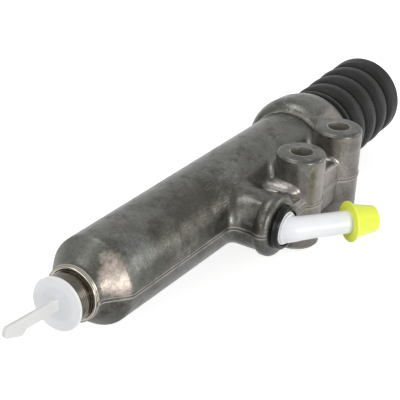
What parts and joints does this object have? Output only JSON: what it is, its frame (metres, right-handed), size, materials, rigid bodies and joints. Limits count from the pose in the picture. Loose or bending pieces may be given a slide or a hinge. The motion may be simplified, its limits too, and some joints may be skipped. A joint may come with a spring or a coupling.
{
  "type": "clutch master cylinder",
  "caption": "Clutch master cylinder: die-cast alloy barrel with bolt lugs, swivelling inlet elbow, ribbed rubber dust boot over the pushrod, and transit caps on the ports.",
  "frame": {"origin": "middle of the two mounting holes, on the seat face of the lugs", "axes": "+X along the bore from the outlet to the pushrod, +Y from the lugs to the barrel, +Z along the mounting holes away from the seat face"},
  "size_m": [0.2617, 0.0785, 0.0403],
  "materials": {
    "cast_alloy": "as-cast, satin, stained",
    "piston_alloy": "machined",
    "plated_steel": "zinc plated",
    "spring_steel": "oiled, dark",
    "rod_steel": "turned",
    "seal_rubber": "matt, oiled",
    "grommet_rubber": "glossy, wet with oil",
    "boot_rubber": "matt with a grey bloom",
    "white_plastic": "moulded, satin",
    "yellow_plastic": "soft moulded, fluorescent",
    "clear_plastic": "translucent, satin"
  },
  "bodies": {
    "housing": {"body_casting": "cast_alloy", "inlet_grommet": "grommet_rubber", "outlet_plug": "clear_plastic", "stop_washer": "plated_steel", "circlip": "spring_steel", "dust_boot": "boot_rubber", "return_spring": "spring_steel"},
    "piston_group": {"piston": "piston_alloy", "primary_cup": "seal_rubber", "cup_washer": "plated_steel", "spring_seat": "plated_steel", "secondary_cup": "seal_rubber", "rod_clip": "spring_steel"},
    "pushrod": {"pushrod": "rod_steel"},
    "elbow": {"inlet_elbow": "white_plastic", "inlet_cap": "yellow_plastic"}
  },
  "joints": [
    {"name": "piston_slide", "type": "slide", "parent": "housing", "child": "piston_group", "axis": [-1, 0, 0], "range_m": [0, 0.03], "stiffness_N_per_m": 1500, "springref_m": -0.02, "deforming": ["return_spring", "dust_boot"]},
    {"name": "pushrod_tilt", "type": "hinge", "parent": "piston_group", "child": "pushrod", "pos_m": [0.02846, 0.023, 0.01825], "axis": [0, 1, 0], "range_deg": [-3, 8], "stiffness_Nm_per_rad": 1.5, "springref_deg": -0.42, "deforming": ["dust_boot"]},
    {"name": "inlet_swivel", "type": "hinge", "parent": "housing", "child": "elbow", "pos_m": [-0.0412, -0.0073, 0.01825], "axis": [0, 1, 0], "continuous": true}
  ]
}
